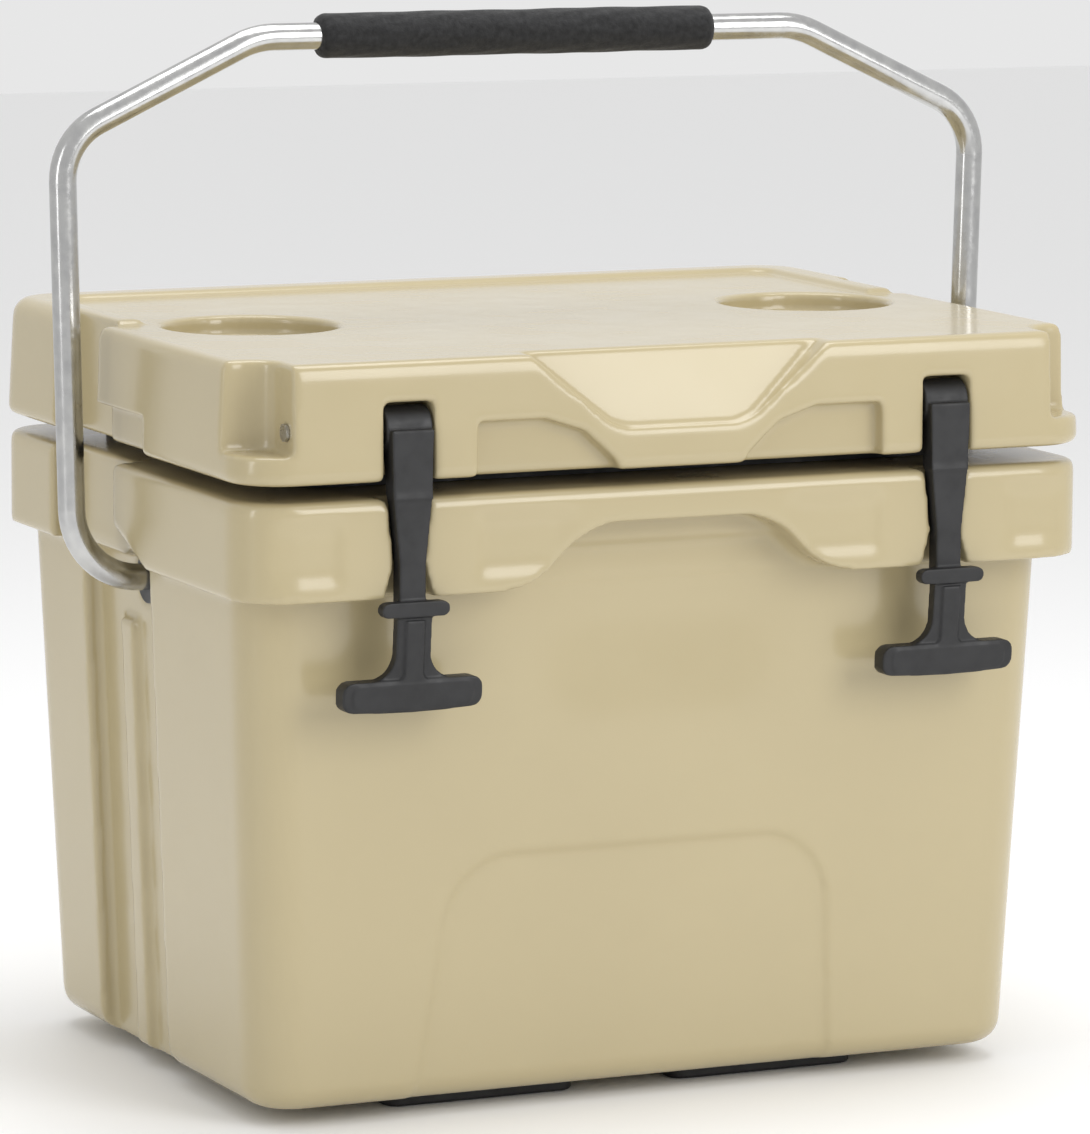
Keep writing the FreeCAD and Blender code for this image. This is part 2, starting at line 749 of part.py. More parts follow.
def lid_block():
    owner = body("lid_block")
    half = SIDE
    plan = rectangle((f"-{half}", half), (FRONT, REAR))
    sketch = outline(owner, "lid_plan", "XY", plan, LID_BOTTOM)
    pad(owner, "lid_pad", sketch, "lid_height", taper="-draft_angle")
    round_edges(owner, "lid_corners", "corner_radius", upright)
    round_edges(owner, "lid_top_round", "lid_top_edge", level_at("closed_height"))
    round_edges(owner, "lid_bottom_round", "lid_bottom_edge", level_at(LID_BOTTOM))
    return owner


def rim_cutter():
    """Lowers the top, but for a rim round the rear and the rear sides."""
    owner = body("rim_cutter")
    inner = f"({SIDE} - lid_rim_width)"
    shape = [
        (f"-({SIDE} + 5)", f"{FRONT} - 5"),
        (f"{SIDE} + 5", f"{FRONT} - 5"),
        (f"{SIDE} + 5", "side_notch_front"),
        (inner, "side_notch_front"),
        (inner, f"{REAR} - lid_rim_width"),
        (f"-{inner}", f"{REAR} - lid_rim_width"),
        (f"-{inner}", "side_notch_front"),
        (f"-({SIDE} + 5)", "side_notch_front"),
    ]
    sketch = outline(owner, "rim_shape", "XY", shape, "closed_height - lid_rim")
    pad(owner, "rim_pad", sketch, "lid_rim + 5")
    rear = number(f"{REAR} - lid_rim_width")
    round_edges(owner, "rim_round", "corner_radius / 2",
                lambda e: upright(e) and abs(e.BoundBox.YMin - rear) < 0.1)
    return owner


def corner_notch_cutter():
    """The scooped hollow in the lid's front right corner, above the ledge."""
    owner = body("corner_notch")
    plan = rectangle(("corner_notch_x", f"{SIDE} + {FAR}"), (f"{FRONT} - {FAR}", "corner_notch_y"))
    sketch = outline(owner, "corner_notch_plan", "XY", plan, f"{LID_BOTTOM} + corner_ledge")
    pad(owner, "corner_notch_pad", sketch, "lid_height")
    x = number("corner_notch_x")
    y = number("corner_notch_y")
    round_edges(owner, "corner_notch_bend", "corner_notch_round",
                lambda e: upright(e) and abs(e.BoundBox.XMin - x) < 0.1 and abs(e.BoundBox.YMin - y) < 0.1)
    return owner


def dish_cutter():
    """The finger dish in the middle of the lid's front: a rounded trapezoid on a leaning floor."""
    front_view = body("dish_front_view")
    foot = f"{LID_BOTTOM} + dish_lip"
    rise = f"({foot} - closed_height)"
    widen = f"((dish_top_half - dish_foot_half) / -{rise} * 5)"
    shape = [
        ("-dish_foot_half", foot),
        ("dish_foot_half", foot),
        (f"dish_top_half + {widen}", "closed_height + 5"),
        (f"-(dish_top_half + {widen})", "closed_height + 5"),
    ]
    sketch = outline(front_view, "dish_outline", "XZ", shape, f"-({FRONT} + {FAR})")
    pad(front_view, "dish_pad", sketch, f"{FAR} * 2")
    low = number(foot)
    round_edges(front_view, "dish_round", "dish_round",
                lambda e: along_y(e) and abs(e.BoundBox.ZMin - low) < 0.1)
    side_view = body("dish_side_view")
    slope = "((dish_top_setback - dish_foot_setback) / (lid_height - dish_lip) * 5)"
    profile = [
        (f"{FRONT} + dish_foot_setback", foot),
        (f"{FRONT} - {FAR}", foot),
        (f"{FRONT} - {FAR}", "closed_height + 5"),
        (f"{FRONT} + dish_top_setback + {slope}", "closed_height + 5"),
    ]
    sketch = outline(side_view, "dish_profile", "YZ", profile, "0")
    pad(side_view, "dish_side_pad", sketch, "dish_top_half * 3", both=True)
    return common("dish", [front_view, side_view])


def lid_arch_cutter():
    """The right-hand finger arch under the lid's front edge, beside the tongue."""
    owner = body("lid_arch")
    top = f"{LID_BOTTOM} + lid_arch_rise"
    shape = [
        ("lid_arch_outer", f"{LID_BOTTOM} - 1"),
        ("lid_arch_outer", top),
        ("lid_arch_flat", top),
        ("lid_arch_inner + (lid_arch_flat - lid_arch_inner) * 0.45",
         f"{top} - (lid_arch_rise - lid_arch_foot) * 0.3"),
        ("lid_arch_inner", f"{LID_BOTTOM} + lid_arch_foot"),
        ("lid_arch_inner - lid_arch_foot / 2", f"{LID_BOTTOM} - 1"),
    ]
    sketch = outline(owner, "lid_arch_shape", "XZ", shape, f"-({FRONT} + lid_arch_depth)")
    pad(owner, "lid_arch_pad", sketch, f"lid_arch_depth + {FAR}")
    return owner


def lid_slot_cutter():
    """The right-hand latch slot in the lid's front."""
    owner = body("lid_slot")
    top = "latch_pivot_z + latch_barrel_radius + 2"
    across = (f"{LATCH_X} - lid_slot_half", f"{LATCH_X} + lid_slot_half")
    shape = rectangle(across, (f"{LID_BOTTOM} - 1", top))
    back = "latch_pivot_y + latch_barrel_radius + 2"
    sketch = outline(owner, "lid_slot_shape", "XZ", shape, f"-({back})")
    pad(owner, "lid_slot_pad", sketch, f"({back}) - {FRONT} + {FAR}")
    return owner


def side_notch_cutters():
    """The right-hand side notch and the arch in the front block's lower rear corner."""
    notch = solid_box("side_notch", (f"{SIDE} - side_notch_depth", f"{SIDE} + {FAR}"),
                      ("side_notch_front", "side_notch_rear"), (f"{LID_BOTTOM} - 1", "closed_height + 1"))
    arch = solid_box("side_arch", (f"{SIDE} - side_arch_depth", f"{SIDE} + {FAR}"),
                     ("side_arch_front", "side_notch_front + 1"),
                     (f"{LID_BOTTOM} - 1", f"{LID_BOTTOM} + side_arch_rise"))
    return [notch, arch]


PLUG_HALF = f"({CAVITY_TOP_HALF} - plug_clearance)"
PLUG_FRONT = f"({CAVITY_TOP_FRONT} + plug_clearance)"
PLUG_REAR = f"({CAVITY_TOP_REAR} - plug_clearance)"


def lid_plug():
    return tapered_block(
        "lid_plug",
        (f"-({PLUG_HALF} - plug_depth * {DRAFT_RATE})", f"{PLUG_HALF} - plug_depth * {DRAFT_RATE}"),
        (f"{PLUG_FRONT} + plug_depth * {DRAFT_RATE}", f"{PLUG_REAR} - plug_depth * {DRAFT_RATE}"),
        (f"{LID_BOTTOM} - plug_depth", f"{LID_BOTTOM} + 2"),
        "cavity_radius - plug_clearance",
    )


def lid_foam_core():
    """Insulation in the lid: a slab, and the block that fills the plug."""
    slab = solid_box(
        "lid_foam_slab",
        (f"-({SIDE} - side_notch_depth - skin - 1)", f"{SIDE} - side_notch_depth - skin - 1"),
        ("corner_notch_y + skin", f"{REAR} - side_notch_depth - skin"),
        (f"{LID_BOTTOM} + skin", "closed_height - lid_rim - cup_depth - skin"),
    )
    block = solid_box(
        "lid_foam_block",
        (f"-({PLUG_HALF} - skin - 2)", f"{PLUG_HALF} - skin - 2"),
        (f"{PLUG_FRONT} + skin + 2", f"{PLUG_REAR} - skin - 2"),
        (f"{LID_BOTTOM} - plug_depth + skin", f"{LID_BOTTOM} + skin + 1"),
    )
    return fuse("lid_foam_all", [slab, block])


def lid_shell(foam):
    """The moulded lid skin with its cup holders, dish, slots, notches, plug and knuckles."""
    notch = corner_notch_cutter()
    arch = lid_arch_cutter()
    slot = lid_slot_cutter()
    sides = side_notch_cutters()
    cups = [
        post(f"cup_{name}", "cup_radius", f"{sign}cup_spacing / 2", "cup_y",
             ("closed_height - lid_rim - cup_depth", "closed_height + 5"))
        for name, sign in (("left", "-"), ("right", ""))
    ]
    tools = [rim_cutter(), dish_cutter(), notch, arch, slot] + sides + cups
    tools += [mirrored(f"{item.Name}_left", item) for item in [notch, arch, slot] + sides]
    tools += [knuckle_room(f"lid_room_{i + 3}", i) for i in BODY_KNUCKLES]
    outside = cut("lid_outside", lid_block(), tools)
    knuckles = [knuckle(f"lid_knuckle_{i + 2}", i, True) for i in LID_KNUCKLES]
    whole = fuse("lid_whole", [outside, lid_plug()] + knuckles)
    bore = rod("lid_rod_bore", "hinge_rod_radius + running_clearance", (f"-{HINGE_HALF}", HINGE_HALF),
               "hinge_y", HINGE_Z)
    pins = [
        rod("pin_bore_right", "latch_pin_radius", ("latch_pin_end", "corner_notch_x + 1"),
            "latch_pivot_y", "latch_pivot_z"),
        rod("pin_bore_left", "latch_pin_radius", ("-(corner_notch_x + 1)", "-latch_pin_end"),
            "latch_pivot_y", "latch_pivot_z"),
    ]
    return cut("lid_shell", whole, [foam, bore] + pins)


def lid_gasket():
    """A rubber ring round the plug, in the gap between the lid and the collar."""
    owner = body("lid_gasket")
    z = (f"{COLLAR_TOP} + gasket_clearance", LID_BOTTOM)
    outer = rectangle((f"-({CAVITY_TOP_HALF} + gasket_width)", f"{CAVITY_TOP_HALF} + gasket_width"),
                      (f"{CAVITY_TOP_FRONT} - gasket_width", f"{CAVITY_TOP_REAR} + gasket_width"))
    pad(owner, "gasket_pad", outline(owner, "gasket_plan", "XY", outer, z[0]), f"({z[1]}) - ({z[0]})")
    round_edges(owner, "gasket_corners", "cavity_radius + gasket_width", upright)
    inner = rectangle((f"-({PLUG_HALF} + 0.5)", f"{PLUG_HALF} + 0.5"),
                      (f"{PLUG_FRONT} - 0.5", f"{PLUG_REAR} + 0.5"))
    sketch = outline(owner, "gasket_hole", "XY", inner, f"{z[1]} + 1")
    pocket(owner, "gasket_opening", sketch, f"({z[1]}) - ({z[0]}) + 2")
    inside = number(f"{PLUG_HALF} + 0.5")
    round_edges(owner, "gasket_inner", "cavity_radius - plug_clearance",
                lambda e: upright(e) and abs(abs(e.BoundBox.XMin) - inside) < 0.1)
    return owner


# ---------------------------------------------------------------- latches

def latch_pin(name, sign):
    """The steel pin that holds a latch, its head in the lid's corner hollow."""
    head = ["corner_notch_x", "corner_notch_x + latch_pin_head"]
    shank = ["latch_pin_end", "corner_notch_x"]
    if sign < 0:
        head = [f"-({head[1]})", f"-({head[0]})"]
        shank = [f"-({shank[1]})", f"-({shank[0]})"]
    return fuse(name + "_all", [
        rod(name + "_shank", "latch_pin_radius", shank, "latch_pivot_y", "latch_pivot_z"),
        rod(name + "_head", "latch_pin_head_radius", head, "latch_pivot_y", "latch_pivot_z"),
    ])


def right_latch():
    """The rubber latch: barrel, tapering strap, shoulder, stem and tee, drawn on the right."""
    barrel = rod("latch_barrel", "latch_barrel_radius",
                 (f"{LATCH_X} - latch_barrel_half", f"{LATCH_X} + latch_barrel_half"),
                 "latch_pivot_y", "latch_pivot_z")
    strap = body("latch_strap")
    low = "shoulder_top - shoulder_height"
    shape = [
        (f"{LATCH_X} - latch_strap_foot_half", low),
        (f"{LATCH_X} + latch_strap_foot_half", low),
        (f"{LATCH_X} + latch_strap_foot_half", f"{COLLAR_BOTTOM} + slot_neck_rise"),
        (f"{LATCH_X} + latch_strap_top_half", COLLAR_TOP),
        (f"{LATCH_X} + latch_barrel_half - 1", "latch_pivot_z"),
        (f"{LATCH_X} - latch_barrel_half + 1", "latch_pivot_z"),
        (f"{LATCH_X} - latch_strap_top_half", COLLAR_TOP),
        (f"{LATCH_X} - latch_strap_foot_half", f"{COLLAR_BOTTOM} + slot_neck_rise"),
    ]
    back = "(latch_strap_front + latch_strap_thickness)"
    sketch = outline(strap, "latch_strap_shape", "XZ", shape, f"-{back}")
    pad(strap, "latch_strap_pad", sketch, "latch_strap_thickness")
    side = body("latch_side")
    profile = [
        ("latch_strap_front", low),
        (back, low),
        (back, COLLAR_TOP),
        ("latch_pivot_y", "latch_pivot_z"),
        ("latch_pivot_y - latch_barrel_radius + 1", "latch_pivot_z"),
        ("latch_strap_front", COLLAR_TOP),
    ]
    sketch = outline(side, "latch_side_shape", "YZ", profile, f"{LATCH_X} - latch_barrel_half * 2")
    pad(side, "latch_side_pad", sketch, "latch_barrel_half * 4")
    strap_solid = common("latch_strap_solid", [strap, side])
    shoulder = solid_box("latch_shoulder", (f"{LATCH_X} - shoulder_half", f"{LATCH_X} + shoulder_half"),
                         ("shoulder_front", "shoulder_back"), (low, "shoulder_top"))
    stem = body("latch_stem")
    lean = [
        ("shoulder_front", low),
        ("shoulder_back", low),
        ("tee_back", "tee_top - 2"),
        ("tee_front", "tee_top - 2"),
    ]
    sketch = outline(stem, "latch_stem_shape", "YZ", lean, f"{LATCH_X} - stem_half")
    pad(stem, "latch_stem_pad", sketch, "stem_half * 2")
    tee = body("latch_tee")
    plan = rectangle((f"{LATCH_X} - tee_half", f"{LATCH_X} + tee_half"), ("tee_top - tee_height", "tee_top"))
    sketch = outline(tee, "latch_tee_shape", "XZ", plan, "-tee_back")
    pad(tee, "latch_tee_pad", sketch, "tee_back - tee_front")
    round_edges(tee, "latch_tee_ends", "tee_round", along_y)
    whole = fuse("latch_whole", [barrel, strap_solid, shoulder, stem, tee])
    bore = rod("latch_bore", "latch_pin_radius + running_clearance",
               (f"{LATCH_X} - {FAR}", f"{LATCH_X} + {FAR}"), "latch_pivot_y", "latch_pivot_z")
    return cut("latch_bored", whole, [bore])


# ---------------------------------------------------------------- the whole chest

def build():
    foam = body_foam_core()
    lid_foam = lid_foam_core()
    latch = right_latch()
    pieces = {
        "body_foam_core": foam,
        "body_shell": body_shell(foam),
        "foot_screws": foot_screws(),
        "hinge_rod": hinge_rod(),
        "pivot_bush_left": pivot_bush("bush_left", -1),
        "pivot_bush_right": pivot_bush("bush_right", 1),
        "handle_tube": handle_tube(),
        "handle_grip": handle_grip(),
        "lid_foam_core": lid_foam,
        "lid_shell": lid_shell(lid_foam),
        "lid_gasket": lid_gasket(),
        "latch_pin_left": latch_pin("pin_left", -1),
        "latch_pin_right": latch_pin("pin_right", 1),
        "latch_left": mirrored("latch_left_mirror", latch),
        "latch_right": latch,
    }
    for name, (x, y) in FEET.items():
        pieces[name] = foot(name + "_body", x, y)
    return pieces


def check(pieces):
    """Stop if any object failed, or any piece has no valid solid."""
    doc.recompute()
    for item in doc.Objects:
        if "Invalid" in item.State or "Error" in item.State:
            raise RuntimeError(f"{item.Name} failed: {item.State}")
    for name, item in pieces.items():
        shape = item.Shape
        if shape.isNull() or not shape.isValid() or not shape.Solids:
            raise RuntimeError(f"{name} has no valid solid")


pieces = build()
for label, item in pieces.items():
    item.Label = label
check(pieces)
os.makedirs("parts", exist_ok=True)
for label, item in pieces.items():
    item.Shape.exportStep(f"parts/{label}.step")
    print(f"{label}: {len(item.Shape.Solids)} solid(s), {item.Shape.Volume / 1000:.1f} cm3")
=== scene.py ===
import math

import bmesh
import bpy
import numpy as np
from mathutils import Matrix, Vector


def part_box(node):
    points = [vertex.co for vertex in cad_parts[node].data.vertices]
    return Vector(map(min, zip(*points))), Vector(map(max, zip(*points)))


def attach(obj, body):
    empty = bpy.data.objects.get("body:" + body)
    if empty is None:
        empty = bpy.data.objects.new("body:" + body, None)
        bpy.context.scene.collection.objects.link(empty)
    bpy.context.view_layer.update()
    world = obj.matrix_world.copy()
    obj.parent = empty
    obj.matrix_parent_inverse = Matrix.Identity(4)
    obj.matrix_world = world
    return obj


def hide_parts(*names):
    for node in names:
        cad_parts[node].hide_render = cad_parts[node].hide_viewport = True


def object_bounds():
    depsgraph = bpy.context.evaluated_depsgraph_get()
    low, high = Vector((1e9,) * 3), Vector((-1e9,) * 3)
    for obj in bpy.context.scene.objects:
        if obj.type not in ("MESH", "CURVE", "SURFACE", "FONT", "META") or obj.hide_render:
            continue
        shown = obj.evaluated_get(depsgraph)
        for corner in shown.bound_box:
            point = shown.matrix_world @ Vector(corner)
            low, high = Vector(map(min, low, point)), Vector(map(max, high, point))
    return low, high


# Looks of the cooler chest: softened moulded skins, rubber latches, foam grip, polished handle.
# Metres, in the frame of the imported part.

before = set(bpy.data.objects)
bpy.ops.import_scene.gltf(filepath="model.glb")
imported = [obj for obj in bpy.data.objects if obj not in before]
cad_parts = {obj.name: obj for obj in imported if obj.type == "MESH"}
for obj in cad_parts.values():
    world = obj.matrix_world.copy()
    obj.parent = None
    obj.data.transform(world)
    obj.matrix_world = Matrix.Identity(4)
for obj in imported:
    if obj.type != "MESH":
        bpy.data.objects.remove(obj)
cad_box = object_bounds()
MM = 0.001


# ---------------------------------------------------------------- camera, light and floor

def aim_camera():
    yaw, pitch, roll = math.radians(25.0), math.radians(8.35), math.radians(0.37)
    target = Vector((5.6, 0, 230.6)) * MM
    back = Vector((-math.sin(yaw) * math.cos(pitch), -math.cos(yaw) * math.cos(pitch), math.sin(pitch)))
    data = bpy.data.cameras.new("camera")
    data.lens = 203.6
    data.sensor_width = 36
    data.clip_end = 50
    camera = bpy.data.objects.new("camera", data)
    bpy.context.scene.collection.objects.link(camera)
    turn = back.to_track_quat("Z", "Y").to_matrix() @ Matrix.Rotation(roll, 3, "Z")
    camera.matrix_world = Matrix.Translation(target + back * 3.065) @ turn.to_4x4()
    bpy.context.scene.camera = camera
    bpy.context.scene.view_settings.view_transform = "Standard"


def softbox(name, place, target, size, power):
    data = bpy.data.lights.new(name, "AREA")
    data.shape = "RECTANGLE"
    data.size, data.size_y = size
    data.energy = power
    light = bpy.data.objects.new(name, data)
    bpy.context.scene.collection.objects.link(light)
    light.location = place
    light.rotation_euler = (Vector(place) - Vector(target)).to_track_quat("Z", "Y").to_euler()


def light_studio():
    world = bpy.data.worlds.new("studio")
    world.use_nodes = True
    world.node_tree.nodes["Background"].inputs["Color"].default_value = (1, 1, 1, 1)
    world.node_tree.nodes["Background"].inputs["Strength"].default_value = 0.8
    bpy.context.scene.world = world
    middle = (0, 0, 0.2)
    softbox("top", (0.1, 0.1, 1.7), middle, (1.3, 0.9), 13)
    softbox("key", (0.7, -1.7, 1.0), middle, (0.9, 1.2), 15)
    softbox("left", (-1.7, -0.5, 0.7), middle, (0.25, 1.1), 3)


def lay_floor():
    mesh = bpy.data.meshes.new("floor")
    corners = [(-6, -6, 0), (6, -6, 0), (6, 6, 0), (-6, 6, 0)]
    mesh.from_pydata(corners, [], [(0, 1, 2, 3)])
    floor = bpy.data.objects.new("floor", mesh)
    bpy.context.scene.collection.objects.link(floor)
    floor.location.z = cad_box[0][2] - 0.0003
    mesh.materials.append(plain_material("floor_white", (0.93, 0.93, 0.93), 0.6))


# ---------------------------------------------------------------- materials

def new_material(name):
    material = bpy.data.materials.new(name)
    material.use_nodes = True
    return material, material.node_tree.nodes, material.node_tree.links


def plain_material(name, color, roughness):
    material, nodes, _ = new_material(name)
    shader = nodes["Principled BSDF"]
    shader.inputs["Base Color"].default_value = (*color, 1)
    shader.inputs["Roughness"].default_value = roughness
    return material


def noise(nodes, links, vector, scale, detail=2.0):
    node = nodes.new("ShaderNodeTexNoise")
    node.inputs["Scale"].default_value = scale
    node.inputs["Detail"].default_value = detail
    links.new(vector, node.inputs["Vector"])
    return node.outputs["Fac"]


def spread(nodes, links, factor, low, high):
    """A noise value, which mostly lies between 0.3 and 0.7, spread over low to high."""
    node = nodes.new("ShaderNodeMapRange")
    node.inputs["From Min"].default_value = 0.3
    node.inputs["From Max"].default_value = 0.7
    node.inputs["To Min"].default_value = low
    node.inputs["To Max"].default_value = high
    links.new(factor, node.inputs["Value"])
    return node.outputs["Result"]


def bumps(nodes, links, layers):
    """Bump nodes chained from (height, depth in metres) pairs."""
    normal = None
    for height, depth in layers:
        node = nodes.new("ShaderNodeBump")
        node.inputs["Strength"].default_value = 1.0
        node.inputs["Distance"].default_value = depth
        links.new(height, node.inputs["Height"])
        if normal:
            links.new(normal, node.inputs["Normal"])
        normal = node.outputs["Normal"]
    return normal


def surface(name, dark, light, color_scale, rough, rough_scale, layers, **fixed):
    """A noise-driven material: two colours, a roughness range and (scale, depth) bump layers."""
    material, nodes, links = new_material(name)
    shader = nodes["Principled BSDF"]
    place = nodes.new("ShaderNodeTexCoord").outputs["Object"]
    ramp = nodes.new("ShaderNodeValToRGB")
    ramp.color_ramp.elements[0].position = 0.3
    ramp.color_ramp.elements[1].position = 0.7
    ramp.color_ramp.elements[0].color = (*dark, 1)
    ramp.color_ramp.elements[1].color = (*light, 1)
    links.new(noise(nodes, links, place, color_scale, 4), ramp.inputs["Fac"])
    links.new(ramp.outputs["Color"], shader.inputs["Base Color"])
    roughness = spread(nodes, links, noise(nodes, links, place, rough_scale, 3), *rough)
    links.new(roughness, shader.inputs["Roughness"])
    heights = [(noise(nodes, links, place, scale, 3), depth) for scale, depth in layers]
    links.new(bumps(nodes, links, heights), shader.inputs["Normal"])
    for key, value in fixed.items():
        shader.inputs[key.replace("_", " ")].default_value = value
    return material


def moulded_plastic():
    return surface("moulded_plastic", (0.418, 0.350, 0.203), (0.436, 0.366, 0.213), 9, (0.20, 0.27), 30,
                   [(28, 0.00006), (420, 0.000015)], Coat_Weight=0.35, Coat_Roughness=0.12)


def black_rubber(name="black_rubber", rough=(0.42, 0.6)):
    return surface(name, (0.006, 0.006, 0.0065), (0.011, 0.011, 0.012), 60, rough, 150,
                   [(90, 0.0001), (2600, 0.00003)])


def foam_sleeve():
    return surface("foam_sleeve", (0.004, 0.004, 0.0045), (0.014, 0.014, 0.015), 420, (0.78, 0.95), 300,
                   [(160, 0.0006), (1500, 0.00025)], Sheen_Weight=0.1)


def polished_steel(name="polished_steel", rough=(0.14, 0.26)):
    return surface(name, (0.44, 0.44, 0.44), (0.54, 0.54, 0.53), 120, rough, 300,
                   [(700, 0.00001)], Metallic=1.0)


def insulation():
    return surface("insulation", (0.80, 0.72, 0.45), (0.90, 0.82, 0.56), 60, (0.7, 0.9), 200, [(900, 0.0003)])


# ---------------------------------------------------------------- mesh work

def from_arrays(name, points, faces):
    mesh = bpy.data.meshes.new(name)
    mesh.from_pydata([tuple(p) for p in points], [], [tuple(f) for f in faces])
    item = bpy.data.objects.new(name, mesh)
    bpy.context.scene.collection.objects.link(item)
    return item


def outer_skin(name, node):
    """A copy of a node's mesh without the closed void inside its walls."""
    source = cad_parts[node]
    work = bmesh.new()
    work.from_mesh(source.data)
    work.transform(source.matrix_world)
    bmesh.ops.remove_doubles(work, verts=work.verts, dist=0.00001)
    left = set(work.verts)
    groups = []
    while left:
        stack = [left.pop()]
        group = set(stack)
        while stack:
            for edge in stack.pop().link_edges:
                for vert in edge.verts:
                    if vert in left:
                        left.discard(vert)
                        group.add(vert)
                        stack.append(vert)
        groups.append(group)
    keep = max(groups, key=lambda g: max(v.co.x for v in g) - min(v.co.x for v in g))
    bmesh.ops.delete(work, geom=[v for g in groups if g is not keep for v in g], context="VERTS")
    mesh = bpy.data.meshes.new(name)
    work.to_mesh(mesh)
    work.free()
    item = bpy.data.objects.new(name, mesh)
    bpy.context.scene.collection.objects.link(item)
    return item


def freeze(item):
    """Applies the modifiers, so that the mesh is the shape that shows."""
    graph = bpy.context.evaluated_depsgraph_get()
    mesh = bpy.data.meshes.new_from_object(item.evaluated_get(graph))
    item.modifiers.clear()
    item.data = mesh


def soften(item, voxel, passes, triangles, shape=None):
    """Melts the solids of a piece into one skin, rounds its edges and thins its flat parts."""
    melt = item.modifiers.new("melt", "REMESH")
    melt.mode = "VOXEL"
    melt.voxel_size = voxel
    freeze(item)
    if shape:
        shape(item)
    smooth = item.modifiers.new("smooth", "SMOOTH")
    smooth.factor = 0.5
    smooth.iterations = passes
    freeze(item)
    count = sum(len(p.vertices) - 2 for p in item.data.polygons)
    if count > triangles:
        thin = item.modifiers.new("thin", "DECIMATE")
        thin.ratio = triangles / count
        freeze(item)
    item.data.polygons.foreach_set("use_smooth", [True] * len(item.data.polygons))
    item.data.update()


def coordinates(item):
    places = np.empty(len(item.data.vertices) * 3)
    item.data.vertices.foreach_get("co", places)
    return places.reshape(-1, 3)


def place_coordinates(item, places):
    item.data.vertices.foreach_set("co", places.ravel())
    item.data.update()


def ease(value, low, high):
    """0 below low, 1 above high, with a smooth climb between them."""
    t = np.clip((value - low) / (high - low), 0, 1)
    return t * t * (3 - 2 * t)


def finish_piece(item, body, material, slot, *nodes):
    item.data.materials.clear()
    item.data.materials.append(material)
    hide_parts(*nodes)
    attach(item, body)


# ---------------------------------------------------------------- tub and lid

LATCH_X = 0.1355
LEAN_TOP = 0.238
LEAN_RATE = 0.085


def shape_tub(item):
    """Soft hollows in the collar's front beside the latch pads, and under its arch."""
    p = coordinates(item)
    x = np.abs(p[:, 0])
    collar_front = (p[:, 1] < -0.150) & (p[:, 2] > 0.247)
    beside = ease(x, 0.050, 0.064) * (1 - ease(x, 0.098, 0.104))
    outboard = ease(x, 0.166, 0.172) * (1 - ease(x, 0.192, 0.204))
    band = ease(p[:, 2], 0.250, 0.260) * (1 - ease(p[:, 2], 0.276, 0.286))
    p[:, 1] += np.where(collar_front, (beside + outboard) * band * 0.0014, 0)
    tub_front = (p[:, 1] < -0.110) & (p[:, 2] < 0.262) & (p[:, 2] > 0.02)
    hollow = (1 - ease(x, 0.030, 0.095)) * ease(p[:, 2], 0.165, 0.235)
    p[:, 1] += np.where(tub_front & (p[:, 1] > -0.1405), hollow * 0.005, 0)
    place_coordinates(item, p)


def make_skins(plastic):
    tub = outer_skin("tub_skin", "body_shell")
    soften(tub, 0.0016, 9, 190000, shape_tub)
    finish_piece(tub, "tub", plastic, "tub_plastic", "body_shell")
    lid = outer_skin("lid_skin", "lid_shell")
    soften(lid, 0.0014, 9, 170000)
    finish_piece(lid, "lid", plastic, "lid_plastic", "lid_shell")


# ---------------------------------------------------------------- latches

def prism(outline, y_front, y_back):
    """A closed solid from an (x, z) outline in millimetres, between two y values."""
    count = len(outline)
    points = [(x * MM, y * MM, z * MM) for y in (y_front, y_back) for x, z in outline]
    faces = [tuple(range(count)), tuple(range(2 * count - 1, count - 1, -1))]
    faces += [(i, i + count, (i + 1) % count + count, (i + 1) % count) for i in range(count)]
    return points, faces


def drum(radius, half, y, z, sides=48):
    """A closed cylinder along X."""
    points = []
    for x in (-half, half):
        for i in range(sides):
            a = 2 * math.pi * i / sides
            points.append((x * MM, (y + radius * math.cos(a)) * MM, (z + radius * math.sin(a)) * MM))
    faces = [tuple(range(sides)), tuple(range(2 * sides - 1, sides - 1, -1))]
    faces += [(i, i + sides, (i + 1) % sides + sides, (i + 1) % sides) for i in range(sides)]
    return points, faces


def both_sides(right):
    """A symmetric outline from the points of its right half, listed downwards."""
    return right + [(-x, z) for x, z in reversed(right)]


def arc(cx, cz, radius, start, end, steps=8):
    angles = [math.radians(start + (end - start) * i / steps) for i in range(steps + 1)]
    return [(cx + radius * math.cos(a), cz + radius * math.sin(a)) for a in angles]


def side_prism(outline, half):
    """A closed solid from a (y, z) outline, symmetric about x = 0."""
    points, faces = prism(outline, -half, half)
    return [(y, x, z) for x, y, z in points], faces


def leaned(solid):
    """The same solid leaning in towards the tub below the shoulder."""
    points, faces = solid
    return [(x, y + (LEAN_TOP - z) * LEAN_RATE, z) for x, y, z in points], faces


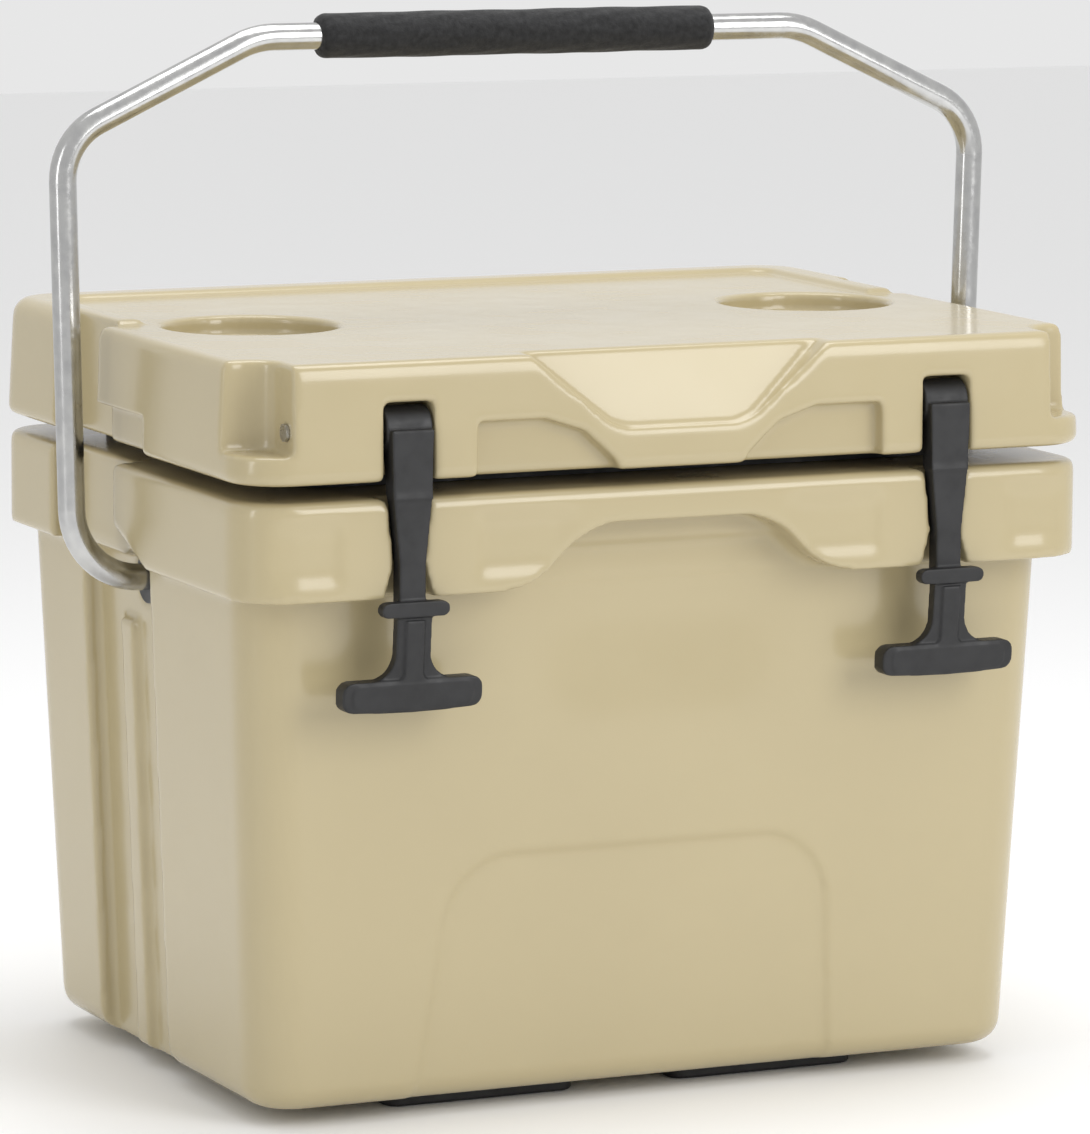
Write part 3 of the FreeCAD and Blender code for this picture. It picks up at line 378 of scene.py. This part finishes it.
def latch_mesh(name, centre):
    """The moulded rubber latch: barrel, strap, hooked shoulder, ribbed stem and bowed tee."""
    strap = both_sides([(10.2, 322), (9.3, 291), (6.4, 262.5), (6.4, 238.5)])
    flare = both_sides([(8.4, 238), (8.4, 222)] + arc(20.4, 222, 12, 180, 270) + [(20.4, 206)])
    ends = arc(29, 205, 5, 90, 0, 6) + arc(29, 201.2, 5, 0, -90, 6)
    tee_right = [(0, 210)] + ends + [(15, 195.4), (0, 195.05)]
    tee = tee_right + [(-x, z) for x, z in reversed(tee_right[1:-1])]
    shoulder = both_sides(arc(13.2, 242, 3.4, 90, -90, 8))
    parts = [
        drum(10, 11.2, -150, 322),
        prism(strap, -164, -155.5),
        side_prism([(-164.5, 291), (-155, 291), (-150, 318), (-159.6, 324)], 9.6),
        prism(shoulder, -168.0, -161.8),
        leaned(prism(flare, -166.4, -160.6)),
        leaned(prism(both_sides([(4.6, 237), (4.6, 212), (9, 207)]), -167.9, -160.6)),
        leaned(prism(tee, -167.6, -158)),
        leaned(prism([(x * 0.86, z * 0.8 + 202.5 * 0.2) for x, z in tee], -168.2, -157.4)),
    ]
    points, faces = [], []
    for part_points, part_faces in parts:
        start = len(points)
        points += [(x + centre, y, z) for x, y, z in part_points]
        faces += [tuple(i + start for i in face) for face in part_faces]
    return from_arrays(name, points, faces)


def make_latches(rubber):
    for side, sign in (("left", -1), ("right", 1)):
        latch = latch_mesh(f"latch_{side}_moulded", sign * LATCH_X)
        soften(latch, 0.0006, 5, 60000)
        finish_piece(latch, f"latch_{side[0]}", rubber, "latch_rubber", f"latch_{side}")


# ---------------------------------------------------------------- grip

def make_grip():
    """A foam sleeve with soft, slightly uneven ends and a gentle swell between them."""
    low, high = (Vector(c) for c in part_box("handle_grip"))
    middle = (low + high) / 2
    radius = (high.z - low.z) / 2
    half = (high.x - low.x) / 2
    inner = 0.00645
    rounding = 0.0045
    sides, rings = 96, 220
    points, faces = [], []
    for i in range(rings + 1):
        along = -half + 2 * half * i / rings
        from_end = half - abs(along)
        t = min(from_end / rounding, 1)
        swell = radius - 0.0004 - rounding * (1 - math.sqrt(1 - (1 - t) ** 2)) * 0.9
        for j in range(sides):
            a = 2 * math.pi * j / sides
            wave = 0.00022 * math.sin(along * 140 + 2 * math.sin(3 * a)) * math.sin(5 * a + along * 60)
            r = swell + wave
            points.append((middle.x + along, middle.y + r * math.cos(a), middle.z + r * math.sin(a)))
    for i in range(rings):
        for j in range(sides):
            k = (j + 1) % sides
            faces.append((i * sides + j, (i + 1) * sides + j, (i + 1) * sides + k, i * sides + k))
    for ring, x in ((0, -half), (rings, half)):
        start = len(points)
        for j in range(sides):
            a = 2 * math.pi * j / sides
            points.append((middle.x + x, middle.y + inner * math.cos(a), middle.z + inner * math.sin(a)))
        for j in range(sides):
            k = (j + 1) % sides
            face = (ring * sides + j, ring * sides + k, start + k, start + j)
            faces.append(face if ring == 0 else face[::-1])
    starts = (len(points) - 2 * sides, len(points) - sides)
    for j in range(sides):
        k = (j + 1) % sides
        faces.append((starts[0] + j, starts[0] + k, starts[1] + k, starts[1] + j))
    grip = from_arrays("grip_sleeve", points, faces)
    grip.data.polygons.foreach_set("use_smooth", [True] * len(grip.data.polygons))
    finish_piece(grip, "handle", foam_sleeve(), "grip_foam", "handle_grip")


# ---------------------------------------------------------------- carried-over parts

def repaint(node, material):
    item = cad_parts[node]
    item.data.materials.clear()
    item.data.materials.append(material)


def repaint_frame():
    rubber = black_rubber("seal_rubber", (0.5, 0.7))
    steel = polished_steel("small_steel", (0.2, 0.35))
    for corner in ("front_left", "front_right", "rear_left", "rear_right"):
        repaint(f"foot_{corner}", rubber)
    repaint("lid_gasket", rubber)
    for node in ("foot_screws", "hinge_rod", "latch_pin_left", "latch_pin_right"):
        repaint(node, steel)
    repaint("handle_tube", polished_steel())
    for side in ("left", "right"):
        repaint(f"pivot_bush_{side}", black_rubber(f"bush_plastic_{side}", (0.35, 0.5)))
    for node in ("body_foam_core", "lid_foam_core"):
        repaint(node, insulation())


aim_camera()
light_studio()
lay_floor()
make_skins(moulded_plastic())
make_latches(black_rubber())
make_grip()
repaint_frame()
